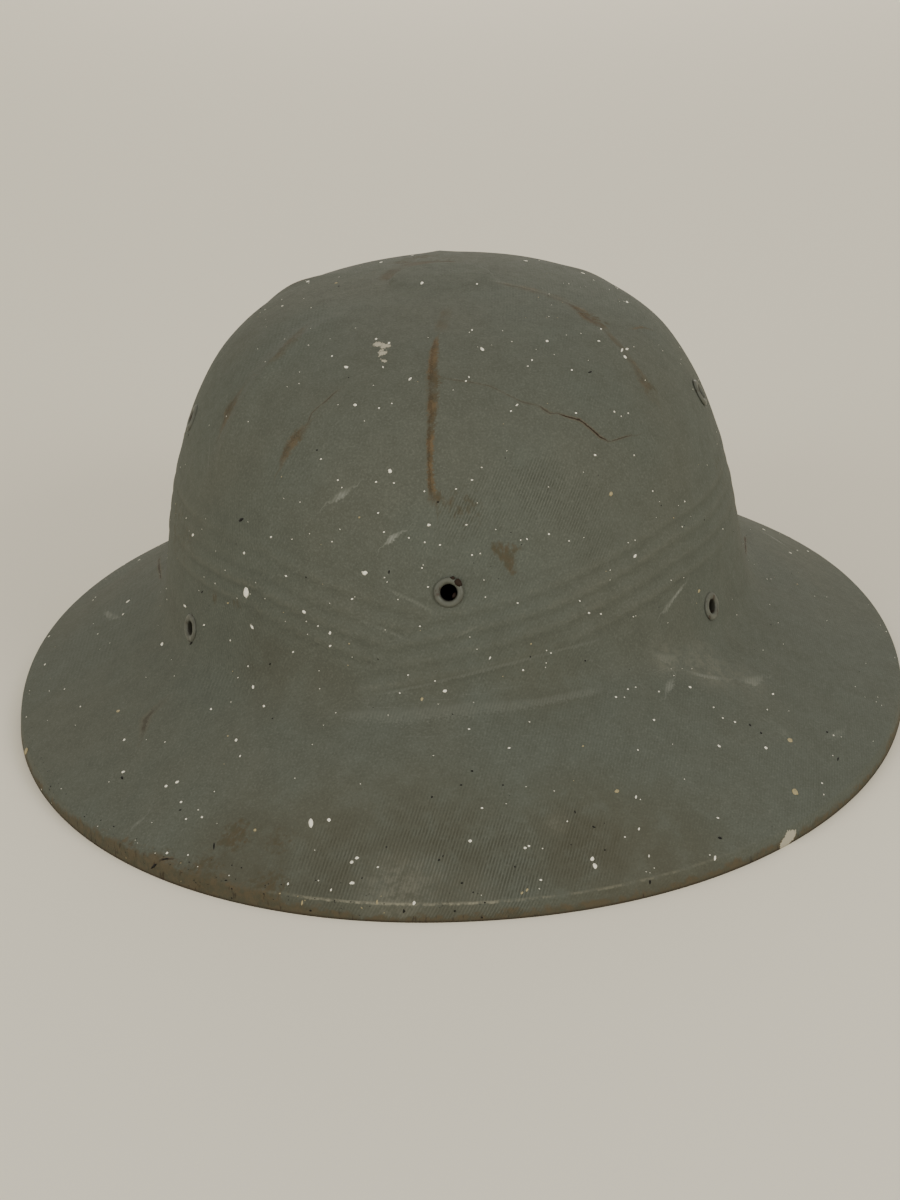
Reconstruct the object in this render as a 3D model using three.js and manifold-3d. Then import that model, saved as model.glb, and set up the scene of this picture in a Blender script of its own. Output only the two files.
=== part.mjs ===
// A pressed-fibre sun helmet: a moulded shell whose domed crown flares into a drooping brim, with a
// pleated band pressed into the crown, low ridges, a round boss on top, and flanged metal eyelets.
// Millimetres, +Z up. The brim's lip stands on z = 0, the front faces -Y, and the origin is the lip's centre.
import * as THREE from "three";
import { mergeVertices } from "three/addons/utils/BufferGeometryUtils.js";
import Module from "manifold-3d";

const wasm = await Module();
wasm.setup();

// Driving dimensions
const BRIM_HALF_WIDTH = 140;
const BRIM_HALF_LENGTH = 168;
const CROWN_HEIGHT = 130; // to the top of the boss
const DOME_HEIGHT = 128.4; // to the top of the dome under the boss
const WALL = 2.4; // fibre and its cloth skin
const PLAN_POWER = 2.08; // 2 is an ellipse, and a little more is squarer
const SEGMENTS = 72;

// Horizontal sections of the outside, from the lip up to the crown's top. Heights are given at the side
// and at the front, because the brim joins the crown lower at the sides. setBack moves a section rearwards.
const SECTIONS = [
  { halfWidth: BRIM_HALF_WIDTH, sideHeight: 0, halfLength: BRIM_HALF_LENGTH, frontHeight: 0, setBack: 0 },
  { halfWidth: 139.4, sideHeight: 4.4, halfLength: 167.4, frontHeight: 4.4, setBack: 0 },
  { halfWidth: 138.2, sideHeight: 5.6, halfLength: 166.1, frontHeight: 5.6, setBack: 0 },
  { halfWidth: 129, sideHeight: 10.4, halfLength: 155, frontHeight: 12.8, setBack: 0 },
  { halfWidth: 117, sideHeight: 16.8, halfLength: 140.5, frontHeight: 23, setBack: 0 },
  { halfWidth: 105, sideHeight: 23.6, halfLength: 125.5, frontHeight: 32, setBack: 0 },
  { halfWidth: 97.2, sideHeight: 28.6, halfLength: 115.5, frontHeight: 37.2, setBack: 0 },
  { halfWidth: 93, sideHeight: 33.6, halfLength: 110.2, frontHeight: 41.4, setBack: 0 },
  { halfWidth: 91, sideHeight: 42.4, halfLength: 108, frontHeight: 47, setBack: 0 },
  { halfWidth: 89, sideHeight: 55.4, halfLength: 105.4, frontHeight: 57, setBack: 0 },
  { halfWidth: 86.4, sideHeight: 69, halfLength: 102, frontHeight: 69, setBack: 0 },
  { halfWidth: 82.6, sideHeight: 83, halfLength: 97.4, frontHeight: 83, setBack: 0.4 },
  { halfWidth: 77.2, sideHeight: 96, halfLength: 91, frontHeight: 96, setBack: 1 },
  { halfWidth: 69.6, sideHeight: 107.8, halfLength: 82, frontHeight: 107.8, setBack: 2 },
  { halfWidth: 58.6, sideHeight: 117, halfLength: 69, frontHeight: 117, setBack: 3.4 },
  { halfWidth: 43, sideHeight: 123.5, halfLength: 50.6, frontHeight: 123.5, setBack: 4.8 },
  { halfWidth: 22, sideHeight: 127.3, halfLength: 26, frontHeight: 127.3, setBack: 5.8 },
  { halfWidth: 0, sideHeight: DOME_HEIGHT, halfLength: 0, frontHeight: DOME_HEIGHT, setBack: 6 },
];

// The pleated band. Its folds run level round the back and sides, and dip to a V at the front.
const BAND = { foot: 57, pleats: 4, pitch: 5.5, proud: 1.1, inset: 0.3, step: 0.9 };
const BAND_TOP = BAND.foot + BAND.pleats * BAND.pitch;
const DIP = { depth: 14, halfAngle: 45, startsAt: 33, endsAt: 112 };

// Low ridges that run down the crown from the boss. They start and end softly, at these heights.
const RIDGE = { halfSpan: 9, startsAt: 86, fullAt: 98, fadesAt: 118 };
const RIDGES = [
  { name: "front", angle: 0, proud: 1 },
  { name: "front_right", angle: 56, proud: 0.4 },
  { name: "back_right", angle: 124, proud: 1 },
  { name: "back", angle: 180, proud: 1 },
  { name: "back_left", angle: 236, proud: 1 },
  { name: "front_left", angle: 304, proud: 2 },
];

// The round boss on top of the crown.
const BOSS = { radius: 15.5, skirt: 2.5, edge: 0.55 };

// Eyelets, by their angle round from the front and their height.
const EYELET = { flange: 4.3, bore: 2.4, barrel: 2.75, lip: 0.9, gap: 0.3, sides: 16 };
const EYELETS = [
  { name: "eyelet_front", angle: -1.5, height: 68 },
  { name: "eyelet_left_low", angle: -59.5, height: 45.5 },
  { name: "eyelet_right_low", angle: 54.5, height: 47 },
  { name: "eyelet_left_high", angle: -82, height: 93 },
  { name: "eyelet_right_high", angle: 80, height: 94.5 },
];

const paint = new THREE.MeshStandardMaterial({ color: 0x5f6156, roughness: 0.85, metalness: 0 });
const paintedMetal = new THREE.MeshStandardMaterial({ color: 0x666860, roughness: 0.55, metalness: 0.3 });

const ramp = (from, to, x) => THREE.MathUtils.smoothstep(x, from, to);

// The outside as two profiles that share one parameter: the side's and the front's.
const sideProfile = new THREE.SplineCurve(SECTIONS.map((s) => new THREE.Vector2(s.halfWidth, s.sideHeight)));
const frontProfile = new THREE.SplineCurve(SECTIONS.map((s) => new THREE.Vector2(s.halfLength, s.frontHeight)));
const setBackProfile = new THREE.SplineCurve(SECTIONS.map((s) => new THREE.Vector2(s.setBack, 0)));

// The profiles' parameter where the front profile reaches a height.
function parameterAt(height) {
  let low = 0;
  let high = 1;
  for (let step = 0; step < 40; step++) {
    const middle = (low + high) / 2;
    if (frontProfile.getPoint(middle).y < height) low = middle;
    else high = middle;
  }
  return (low + high) / 2;
}

// A point of the plain outside, with no relief, at an angle round from the front (radians) and a front height.
function plainPoint(angle, height) {
  const t = parameterAt(height);
  const side = sideProfile.getPoint(t);
  const front = frontProfile.getPoint(t);
  const across = Math.sin(angle);
  const along = Math.cos(angle);
  const round = (Math.abs(across) ** PLAN_POWER + Math.abs(along) ** PLAN_POWER) ** (-1 / PLAN_POWER);
  return new THREE.Vector3(
    Math.max(0, side.x) * across * round,
    -Math.max(0, front.x) * along * round + setBackProfile.getPoint(t).x,
    THREE.MathUtils.lerp(front.y, side.y, across * across),
  );
}

// The outward normal of the plain outside.
function plainNormal(angle, height) {
  const turn = 0.01;
  const rise = 0.2;
  const top = Math.min(height + rise, DOME_HEIGHT - 0.2);
  const bottom = Math.max(top - 2 * rise, 0);
  const round = plainPoint(angle + turn, height).sub(plainPoint(angle - turn, height));
  const up = plainPoint(angle, top).sub(plainPoint(angle, bottom));
  return round.cross(up).normalize();
}

// How far the V at the front lowers the band's folds, and the crown just above and below them.
function dipAt(angle, height) {
  const off = Math.abs(THREE.MathUtils.radToDeg(Math.atan2(Math.sin(angle), Math.cos(angle))));
  const share = ramp(DIP.startsAt, BAND.foot, height) * (1 - ramp(BAND_TOP, DIP.endsAt, height));
  return DIP.depth * share * Math.max(0, 1 - off / DIP.halfAngle);
}

// Relief of the ridges, tall in the middle of the dome and fading at both ends.
function ridgeRelief(point, angle) {
  const share = ramp(RIDGE.startsAt, RIDGE.fullAt, point.z) * (1 - ramp(RIDGE.fadesAt, DOME_HEIGHT, point.z));
  const radius = Math.hypot(point.x, point.y);
  const heights = RIDGES.map((ridge) => {
    const apart = angle - THREE.MathUtils.degToRad(ridge.angle);
    const away = Math.abs(Math.atan2(Math.sin(apart), Math.cos(apart))) * radius;
    return ridge.proud * Math.max(0, 1 - away / RIDGE.halfSpan);
  });
  return share * Math.max(...heights);
}

// Rings of the outside from the lip up: a height at the sides, and how far the band's fold stands proud there.
function outsideRings() {
  const rings = [0, 2.4, 4.4, 5.6, 9.4, 13.6, 18, 23, 27.6, 32, 35, 38, 42, 47, 52].map((height) => ({ height, proud: 0 }));
  rings.push({ height: BAND.foot - BAND.step, proud: 0 });
  for (let pleat = 0; pleat < BAND.pleats; pleat++) {
    const foot = BAND.foot + pleat * BAND.pitch;
    rings.push({ height: foot, proud: BAND.proud });
    rings.push({ height: foot + BAND.pitch - BAND.step, proud: BAND.inset });
  }
  rings.push({ height: BAND_TOP + BAND.step, proud: 0 });
  for (const height of [85, 91, 97, 103, 108, 112.4, 116, 119.2, 122, 124.2, 125.8]) rings.push({ height, proud: 0 });
  return rings;
}

function outsidePoint(ring, angle) {
  const height = ring.height - dipAt(angle, ring.height);
  const point = plainPoint(angle, height);
  const relief = ring.proud + ridgeRelief(point, angle);
  return relief > 0 ? point.addScaledVector(plainNormal(angle, height), relief) : point;
}

// Rings of the boss, from the foot of its skirt in to its top: a radius about the dome's top, and a height.
const bossRings = [
  { radius: BOSS.radius + BOSS.skirt, height: DOME_HEIGHT - 0.7 },
  { radius: BOSS.radius, height: CROWN_HEIGHT - BOSS.edge - 0.3 },
  { radius: BOSS.radius - BOSS.skirt / 2, height: CROWN_HEIGHT - BOSS.edge },
  { radius: BOSS.radius / 2, height: CROWN_HEIGHT - BOSS.edge / 4 },
  { radius: 0, height: CROWN_HEIGHT },
];

function bossPoint(ring, angle) {
  const centre = plainPoint(0, DOME_HEIGHT);
  return new THREE.Vector3(ring.radius * Math.sin(angle), centre.y - ring.radius * Math.cos(angle), ring.height);
}

// The inside is the plain outside moved in by the wall.
function insidePoint(height, angle) {
  if (height === 0) {
    const point = plainPoint(angle, 0);
    const inward = new THREE.Vector3(-point.x, -point.y, 0).normalize();
    return point.addScaledVector(inward, WALL);
  }
  return plainPoint(angle, height).addScaledVector(plainNormal(angle, height), -WALL);
}

function makeShell() {
  const insideHeights = [0, 6, 14, 23, 31, 36, 40, 45, 54, 66, 79, 91, 102, 111, 118, 122.6, 125.8];
  const stations = [
    ...insideHeights.toReversed().map((height) => (angle) => insidePoint(height, angle)),
    ...outsideRings().map((ring) => (angle) => outsidePoint(ring, angle)),
    ...bossRings.map((ring) => (angle) => bossPoint(ring, angle)),
  ];
  const innerTop = plainPoint(0, DOME_HEIGHT).setZ(DOME_HEIGHT - WALL);
  stations.unshift(() => innerTop.clone());
  const last = stations.length - 1;
  const profile = stations.map((_, j) => new THREE.Vector2(j === 0 || j === last ? 0 : 1, j));
  const lathe = new THREE.LatheGeometry(profile, SEGMENTS);
  const position = lathe.getAttribute("position");
  for (let i = 0; i <= SEGMENTS; i++) {
    const angle = ((i % SEGMENTS) * 2 * Math.PI) / SEGMENTS;
    stations.forEach((station, j) => {
      const point = station(angle);
      position.setXYZ(i * stations.length + j, point.x, point.y, point.z);
    });
  }
  return lathe;
}

// Joining and cutting
function toSolid(geometry) {
  const bare = geometry.clone();
  bare.deleteAttribute("normal");
  bare.deleteAttribute("uv");
  const merged = mergeVertices(bare, 1e-4);
  const vertProperties = merged.getAttribute("position").array;
  return new wasm.Manifold(new wasm.Mesh({ numProp: 3, vertProperties, triVerts: new Uint32Array(merged.index.array) }));
}

function toGeometry(solid) {
  const mesh = solid.getMesh();
  const geometry = new THREE.BufferGeometry();
  geometry.setAttribute("position", new THREE.BufferAttribute(new Float32Array(mesh.vertProperties), 3));
  geometry.setIndex(new THREE.BufferAttribute(new Uint32Array(mesh.triVerts), 1));
  geometry.computeVertexNormals();
  return geometry;
}

// Where an eyelet sits: a matrix whose +Z is the shell's outward normal there.
function eyeletPlace(row) {
  const angle = THREE.MathUtils.degToRad(row.angle);
  const point = plainPoint(angle, row.height);
  const turn = new THREE.Quaternion().setFromUnitVectors(new THREE.Vector3(0, 0, 1), plainNormal(angle, row.height));
  return new THREE.Matrix4().compose(point, turn, new THREE.Vector3(1, 1, 1));
}

// The hole for an eyelet, with a shallow seat that its flange is pressed into.
function eyeletCutter(place) {
  const hole = new THREE.CylinderGeometry(EYELET.barrel + EYELET.gap, EYELET.barrel + EYELET.gap, 6 * WALL, EYELET.sides);
  const seatDepth = 2 * WALL;
  const seat = new THREE.CylinderGeometry(EYELET.flange + EYELET.gap, EYELET.flange + EYELET.gap, seatDepth, EYELET.sides);
  seat.translate(0, seatDepth / 2 - EYELET.gap, 0);
  const upright = new THREE.Matrix4().makeRotationX(Math.PI / 2);
  const cutter = toSolid(hole.applyMatrix4(upright)).add(toSolid(seat.applyMatrix4(upright)));
  return toSolid(toGeometry(cutter).applyMatrix4(place));
}

// A rolled metal eyelet on its own +Z axis: a rounded flange outside, a barrel, and a flat curl inside.
function eyeletGeometry() {
  const innerFace = -WALL - 2 * EYELET.gap;
  const curl = EYELET.flange - 0.5;
  const outline = new THREE.Path();
  outline.moveTo(EYELET.bore, innerFace - EYELET.lip);
  outline.lineTo(curl, innerFace - EYELET.lip);
  outline.lineTo(curl, innerFace);
  outline.lineTo(EYELET.barrel, innerFace);
  outline.lineTo(EYELET.barrel, 0);
  outline.lineTo(EYELET.flange, 0);
  const crest = (EYELET.flange + EYELET.bore) / 2;
  outline.absellipse(crest, 0, EYELET.flange - crest, EYELET.lip, 0, Math.PI, false, 0);
  outline.lineTo(EYELET.bore, innerFace - EYELET.lip);
  const corners = outline.getPoints(3).filter((p, i, all) => i === 0 || p.distanceTo(all[i - 1]) > 1e-6);
  return new THREE.LatheGeometry(corners, EYELET.sides).rotateX(Math.PI / 2);
}

const helmet = new THREE.Group();
let shellSolid = toSolid(makeShell());
for (const row of EYELETS) {
  const place = eyeletPlace(row);
  shellSolid = shellSolid.subtract(eyeletCutter(place));
  const eyelet = new THREE.Mesh(eyeletGeometry(), paintedMetal);
  eyelet.name = row.name;
  eyelet.applyMatrix4(place);
  helmet.add(eyelet);
}
const shell = new THREE.Mesh(toGeometry(shellSolid), paint);
shell.name = "shell";
helmet.add(shell);

export default helmet;
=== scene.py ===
import bpy
import bmesh
import math
import random
import numpy as np
from collections import namedtuple
from mathutils import Euler, Matrix, Vector, noise
from mathutils.bvhtree import BVHTree


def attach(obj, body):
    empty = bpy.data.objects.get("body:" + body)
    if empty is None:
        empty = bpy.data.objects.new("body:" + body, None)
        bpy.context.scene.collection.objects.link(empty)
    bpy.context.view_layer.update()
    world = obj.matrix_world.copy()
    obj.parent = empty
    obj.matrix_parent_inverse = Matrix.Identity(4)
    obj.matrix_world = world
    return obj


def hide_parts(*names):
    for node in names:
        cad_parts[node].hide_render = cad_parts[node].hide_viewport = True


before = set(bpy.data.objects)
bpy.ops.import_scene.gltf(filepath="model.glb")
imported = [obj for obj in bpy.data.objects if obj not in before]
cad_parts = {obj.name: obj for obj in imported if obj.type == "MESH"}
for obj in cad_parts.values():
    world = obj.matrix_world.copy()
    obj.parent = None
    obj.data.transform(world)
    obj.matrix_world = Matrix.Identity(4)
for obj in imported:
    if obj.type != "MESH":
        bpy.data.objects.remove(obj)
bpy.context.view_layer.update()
mm = 0.001


def clamp(value, low=0.0, high=1.0):
    return max(low, min(high, value))


def ramp(low, high, value):  # soft step from 0 at low to 1 at high
    share = clamp((value - low) / (high - low))
    return share * share * (3 - 2 * share)


# Camera, set first because the marks on the paint are placed through it
cameraSettings = dict(
    lens=81,
    sensor=36,
    nearest=0.01,
    place=(-0.0020, -0.8001, 0.3505),
    elevation=22.2,
    roll=-2.7,
    frame=(900, 1200),
)
cameraTurn = Euler((math.radians(90 - cameraSettings["elevation"]), 0, 0)).to_matrix()
cameraTurn = cameraTurn @ Matrix.Rotation(math.radians(cameraSettings["roll"]), 3, "Z")
cameraData = bpy.data.cameras.new("camera")
cameraData.lens = cameraSettings["lens"]
cameraData.sensor_width = cameraSettings["sensor"]
cameraData.clip_start = cameraSettings["nearest"]
camera = bpy.data.objects.new("camera", cameraData)
camera.matrix_world = Matrix.Translation(cameraSettings["place"]) @ cameraTurn.to_4x4()
bpy.context.scene.collection.objects.link(camera)
bpy.context.scene.camera = camera


def lookThrough(pixel):  # a ray from the camera through a pixel of the 900 x 1200 frame
    width, height = cameraSettings["frame"]
    focal = cameraSettings["lens"] / cameraSettings["sensor"] * max(width, height)
    away = Vector(((pixel[0] - width / 2) / focal, (height / 2 - pixel[1]) / focal, -1))
    return Vector(cameraSettings["place"]), (cameraTurn @ away).normalized()


print("camera ready")


def addPiece(name, bm, stands=()):
    mesh = bpy.data.meshes.new(name)
    bm.to_mesh(mesh)
    bm.free()
    for face in mesh.polygons:
        face.use_smooth = True
    piece = bpy.data.objects.new(name, mesh)
    bpy.context.scene.collection.objects.link(piece)
    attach(piece, "root")
    if stands:
        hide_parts(*stands)
    return piece


# Shell: the same sections as the solid, from the lip up, in millimetres
Section = namedtuple("Section", "halfWidth sideHeight halfLength frontHeight setBack")
sections = [
    Section(140, 0, 168, 0, 0),
    Section(139.4, 4.4, 167.4, 4.4, 0),
    Section(138.2, 5.6, 166.1, 5.6, 0),
    Section(129, 10.4, 155, 12.8, 0),
    Section(117, 16.8, 140.5, 23, 0),
    Section(105, 23.6, 125.5, 32, 0),
    Section(97.2, 28.6, 115.5, 37.2, 0),
    Section(93, 33.6, 110.2, 41.4, 0),
    Section(91, 42.4, 108, 47, 0),
    Section(89, 55.4, 105.4, 57, 0),
    Section(86.4, 69, 102, 69, 0),
    Section(82.6, 83, 97.4, 83, 0.4),
    Section(77.2, 96, 91, 96, 1),
    Section(69.6, 107.8, 82, 107.8, 2),
    Section(58.6, 117, 69, 117, 3.4),
    Section(43, 123.5, 50.6, 123.5, 4.8),
    Section(22, 127.3, 26, 127.3, 5.8),
    Section(0, 128.4, 0, 128.4, 6),
]
shellSettings = dict(
    wall=2.4,
    planPower=2.08,
    around=400,
    lipRing=0.5,  # spacing of the rings along the profile
    brimRing=2.2,
    bandRing=1.1,
    domeRing=1.9,
    bossRing=0.8,
    innerRing=7.0,
    sag=0.4,  # slow unevenness of the pressed fibre
)
bandSettings = dict(
    foot=57, pleats=4, pitch=5.5, proud=0.72, inset=0.1,
    rightSlope=0.27, leftSlope=0.34, dipFoot=44.0, vertex=-3.0, overlap=15.0,
    lowest=36, highest=84,  # heights that hold the folds
    levelFrom=90,  # degrees from the front where they run level
)
bossSettings = dict(radius=15.5, skirt=1.8, frontSkirt=18.0, proud=1.5, frontLoss=0.6)
ridgeSettings = dict(startsAt=84, fullAt=97, fadesAt=118, goneAt=128, base=9.0, crest=2.6, sharpShare=0.4)
Ridge = namedtuple("Ridge", "angle proud")
ridges = [Ridge(-2, 1.1), Ridge(56, 0.4), Ridge(124, 0.5), Ridge(180, 1.0), Ridge(236, 1.0), Ridge(304, 2.0)]


def profileAt(t):  # a smooth curve through the sections, where t counts them
    last = len(sections) - 1
    i = min(int(t), last - 1)
    f = t - i
    rows = [sections[max(i - 1, 0)], sections[i], sections[i + 1], sections[min(i + 2, last)]]
    values = []
    for a, b, c, d in zip(*rows):
        out, into = (c - a) / 2, (d - b) / 2
        cubic = 2 * b - 2 * c + out + into
        square = -3 * b + 3 * c - 2 * out - into
        values.append(cubic * f ** 3 + square * f ** 2 + out * f + b)
    return Section(*values)


def onSection(row, angle):
    across, along = math.sin(angle), math.cos(angle)
    power = shellSettings["planPower"]
    stretch = (abs(across) ** power + abs(along) ** power) ** (-1 / power)
    x = max(row.halfWidth, 0) * across * stretch
    y = -max(row.halfLength, 0) * along * stretch + row.setBack
    return Vector((x, y, row.frontHeight + (row.sideHeight - row.frontHeight) * across * across))


def plainPoint(t, angle):
    return onSection(profileAt(t), angle)


def plainNormal(t, angle):
    last = len(sections) - 1
    high = profileAt(min(t + 0.02, last - 0.03))
    low = profileAt(max(min(t, last - 0.05) - 0.02, 0))
    middle = profileAt(min(t, last - 0.05))
    turned = onSection(middle, angle + 0.01) - onSection(middle, angle - 0.01)
    return turned.cross(onSection(high, angle) - onSection(low, angle)).normalized()


def wrapDegrees(angle):
    return math.degrees(math.atan2(math.sin(angle), math.cos(angle)))


def pleatAt(height, degrees):  # share of the way up its fold, and how strongly the fold shows
    band = bandSettings
    off = degrees - band["vertex"]
    footRight = min(band["foot"], band["dipFoot"] + band["rightSlope"] * off)
    footLeft = min(band["foot"], band["dipFoot"] - band["leftSlope"] * off)
    top = band["pleats"] * band["pitch"]
    if abs(degrees) > band["levelFrom"]:
        footRight = footLeft = band["foot"]
    # the right wrap crosses the middle and tapers away over the left one
    seam = band["dipFoot"] + top * (1 + off / band["overlap"])
    onRight = off > 0 or (height < seam and off > -band["overlap"])
    up = height - (footRight if onRight else footLeft)
    if up < -1.6 or up > top + 1.5:
        return 0.0, 0.0
    pleat = up / band["pitch"] + 0.10 * noise.noise(Vector((degrees * 0.05, 3.7, 0)))
    strength = 0.75 + 0.6 * noise.noise(Vector((degrees * 0.035, math.floor(pleat) * 2.3, 9.1)))
    edge = ramp(-1.5, 0.6, up) * (1 - ramp(top - 1.0, top + 1.4, up))
    return pleat - math.floor(pleat), clamp(strength, 0.2, 1.2) * edge


def pleatRelief(height, degrees):
    share, strength = pleatAt(height, degrees)
    fold = bandSettings["inset"] + (bandSettings["proud"] - bandSettings["inset"]) * (1 - share) ** 1.3
    return fold * strength * (ramp(0, 0.22, share) * 0.85 + 0.15)  # soft foot of each fold


def ridgeRelief(point, angle):
    r = ridgeSettings
    share = ramp(r["startsAt"], r["fullAt"], point.z) * (1 - ramp(r["fadesAt"], r["goneAt"], point.z))
    if share <= 0:
        return 0.0
    best = 0.0
    radius = math.hypot(point.x, point.y)
    for ridge in ridges:
        away = abs(wrapDegrees(angle - math.radians(ridge.angle))) * math.pi / 180 * radius
        slope = ramp(0, 1, 1 - away / r["base"])
        sharp = math.exp(-away / r["crest"])
        best = max(best, ridge.proud * ((1 - r["sharpShare"]) * slope + r["sharpShare"] * sharp))
    return best * share


def bossRelief(point):
    boss = bossSettings
    away = math.hypot(point.x, point.y - sections[-1].setBack)
    front = clamp((sections[-1].setBack - point.y) / boss["radius"])
    half = (boss["skirt"] + (boss["frontSkirt"] - boss["skirt"]) * front) / 2  # softest at the front
    proud = boss["proud"] * (1 - boss["frontLoss"] * front)
    return proud * (1 - ramp(boss["radius"] - half, boss["radius"] + half, away))


def outerPoint(t, angle):
    point = plainPoint(t, angle)
    normal = plainNormal(t, angle)
    relief = ridgeRelief(point, angle) + bossRelief(point)
    if bandSettings["lowest"] < point.z < bandSettings["highest"]:
        relief += pleatRelief(point.z, wrapDegrees(angle))
    slow = noise.noise(point * 0.022) + 0.4 * noise.noise(point * 0.06)
    relief += shellSettings["sag"] * slow * ramp(3, 14, point.z)
    return point + normal * relief


def innerPoint(t, angle):
    if t == 0:
        point = plainPoint(0, angle)
        flat = Vector((point.x, point.y, 0))
        return point - flat.normalized() * shellSettings["wall"]
    return plainPoint(t, angle) - plainNormal(t, angle) * shellSettings["wall"]


def ringStops(spacing, fineness=60):  # values of t spaced evenly along the front profile
    fine = [profileAt(i / fineness) for i in range(fineness * (len(sections) - 1) + 1)]
    stops, run = [0.0], 0.0
    for i, (low, high) in enumerate(zip(fine, fine[1:]), 1):
        run += math.hypot(high.halfLength - low.halfLength, high.frontHeight - low.frontHeight)
        if run >= spacing(high.frontHeight):
            stops.append(i / fineness)
            run = 0.0
    return stops


ringTops = dict(lipRing=7, brimRing=36, bandRing=84, domeRing=127.1)  # height where each spacing ends


def outerSpacing(height):
    for name, top in ringTops.items():
        if height < top:
            return shellSettings[name]
    return shellSettings["bossRing"]


last = len(sections) - 1
outerStops = [t for t in ringStops(outerSpacing) if t < last - 0.05] + [last]
innerStops = [t for t in ringStops(lambda height: shellSettings["innerRing"]) if t < last - 0.2] + [last]
stations = [(t, innerPoint) for t in reversed(innerStops)] + [(t, outerPoint) for t in outerStops]

bm = bmesh.new()
profile = [bm.verts.new((0, -1, j)) for j in range(len(stations))]
edges = [bm.edges.new(pair) for pair in zip(profile, profile[1:])]
bmesh.ops.spin(
    bm, geom=profile + edges, cent=(0, 0, 0), axis=(0, 0, 1), angle=2 * math.pi,
    steps=shellSettings["around"], use_merge=True,
)
for vert in bm.verts:
    t, place = stations[round(vert.co.z)]
    vert.co = place(t, math.atan2(vert.co.x, -vert.co.y)) * mm
bmesh.ops.remove_doubles(bm, verts=bm.verts[:], dist=0.00001)
bmesh.ops.recalc_face_normals(bm, faces=bm.faces[:])
print("shell rings", len(stations), "faces", len(bm.faces))
shell = addPiece("shell_painted", bm, ("shell",))

# Eyelets, by angle round from the front and height at the front
# lip is how far the rolled edge stands out of the paint, and bore is the radius inside it
eyeletSettings = dict(flange=4.3, barrel=2.75, hole=2.95, cutDepth=14, cutSides=32, sides=48, seat=-0.15)
Eyelet = namedtuple("Eyelet", "name angle height lip bore")
eyelets = [
    Eyelet("eyelet_front", -1.5, 68, 0.95, 2.4),
    Eyelet("eyelet_left_low", -59.5, 45.5, 0.6, 2.1),
    Eyelet("eyelet_right_low", 54.5, 47, 0.6, 2.1),
    Eyelet("eyelet_left_high", -82, 93, 0.7, 2.1),
    Eyelet("eyelet_right_high", 80, 94.5, 0.7, 2.1),
]


def stopAtHeight(height):
    low, high = 0.0, float(last)
    for _ in range(40):
        middle = (low + high) / 2
        if profileAt(middle).frontHeight < height:
            low = middle
        else:
            high = middle
    return low


def eyeletPlace(row):
    angle, t = math.radians(row.angle), stopAtHeight(row.height)
    normal = plainNormal(t, angle)
    turn = Vector((0, 0, 1)).rotation_difference(normal).to_matrix().to_4x4()
    return Matrix.Translation(plainPoint(t, angle) * mm) @ turn


def spinOutline(bm, outline, sides):
    verts = [bm.verts.new((r * mm, 0, z * mm)) for r, z in outline]
    loop = [bm.edges.new(pair) for pair in zip(verts, verts[1:] + verts[:1])]
    bmesh.ops.spin(
        bm, geom=verts + loop, cent=(0, 0, 0), axis=(0, 0, 1), angle=2 * math.pi, steps=sides, use_merge=True,
    )
    bmesh.ops.remove_doubles(bm, verts=bm.verts[:], dist=0.000001)
    bmesh.ops.recalc_face_normals(bm, faces=bm.faces[:])


cutters = bmesh.new()
eyeletPieces = []
for row in eyelets:
    e = eyeletSettings
    place = eyeletPlace(row)
    inside = -shellSettings["wall"] - 0.6
    middle, half = (e["flange"] + row.bore) / 2, (e["flange"] - row.bore) / 2
    crest = [(middle + half * math.cos(a), e["seat"] + 0.25 + row.lip * math.sin(a))
             for a in (math.pi * k / 12 for k in range(13))]
    outline = [(row.bore, inside - 0.8), (row.bore + 0.3, inside - 0.95), (e["flange"] - 0.8, inside - 0.9),
               (e["flange"] - 0.5, inside - 0.5), (e["flange"] - 0.6, inside), (e["barrel"], inside),
               (e["barrel"], e["seat"]), (e["flange"] - 0.1, e["seat"])] + crest
    bm = bmesh.new()
    spinOutline(bm, outline, e["sides"])
    boreShadeLayer = bm.verts.layers.float.new("boreShade")
    for vert in bm.verts:  # painted shade: the bore darkened towards near-black
        inBore = 1 - ramp(row.bore + 0.2, row.bore + 0.9, math.hypot(vert.co.x, vert.co.y) / mm)
        vert[boreShadeLayer] = inBore * (1 - ramp(e["seat"] - 0.3, e["seat"] + 0.8, vert.co.z / mm))
    bmesh.ops.transform(bm, matrix=place, verts=bm.verts[:])
    eyeletPieces.append(addPiece(row.name + "_rolled", bm, (row.name,)))
    bmesh.ops.create_cone(
        cutters, cap_ends=True, segments=e["cutSides"], radius1=e["hole"] * mm, radius2=e["hole"] * mm,
        depth=e["cutDepth"] * mm, matrix=place,
    )
cutterMesh = bpy.data.meshes.new("eyeletHoles")
cutters.to_mesh(cutterMesh)
cutters.free()
cutter = bpy.data.objects.new("eyeletHoles", cutterMesh)
bpy.context.scene.collection.objects.link(cutter)
holes = shell.modifiers.new("eyelet holes", "BOOLEAN")
holes.operation = "DIFFERENCE"
holes.solver = "EXACT"
holes.object = cutter
bpy.context.view_layer.update()
evaluated = shell.evaluated_get(bpy.context.evaluated_depsgraph_get())
pierced = bpy.data.meshes.new_from_object(evaluated)
shell.modifiers.clear()
oldMesh = shell.data
shell.data = pierced
pierced.name = "shell_painted"
bpy.data.meshes.remove(oldMesh)
bpy.data.objects.remove(cutter)
bpy.data.meshes.remove(cutterMesh)
print("shell pierced, faces", len(pierced.polygons))

skin = bmesh.new()
skin.from_mesh(pierced)
skinTree = BVHTree.FromBMesh(skin)


def onShell(pixel):
    start, away = lookThrough(pixel)
    hit, normal, _, _ = skinTree.ray_cast(start, away)
    return hit, normal


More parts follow.
